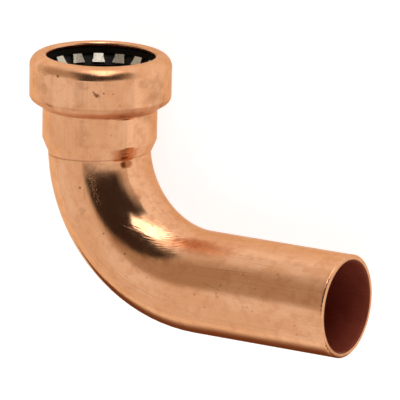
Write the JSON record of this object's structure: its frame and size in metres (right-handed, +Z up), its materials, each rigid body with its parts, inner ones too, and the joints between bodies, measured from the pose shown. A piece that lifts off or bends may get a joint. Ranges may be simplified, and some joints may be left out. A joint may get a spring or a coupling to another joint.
{
  "type": "push-fit street elbow",
  "caption": "Copper push-fit street elbow: a bent tube with a plain spigot and a swelled socket, whose rolled rim holds an O-ring, spacer, toothed grab ring and guide ring.",
  "frame": {"origin": "middle of the floor of the box round the elbow as it lies on a flat surface, on its spigot and its collar", "axes": "+X along the spigot towards its open end, +Z up as it lies, and the socket opens towards +Y, raised 6.3 degrees"},
  "size_m": [0.0766, 0.0582, 0.0309],
  "materials": {
    "copper": "drawn copper, satin, handled",
    "rubber": "moulded, lightly greased",
    "black_plastic": "moulded, satin",
    "stainless": "stamped sheet"
  },
  "bodies": {
    "root": {"body": "copper", "o_ring": "rubber", "spacer_ring": "black_plastic", "grab_ring": "stainless", "guide_ring": "black_plastic"}
  },
  "joints": []
}
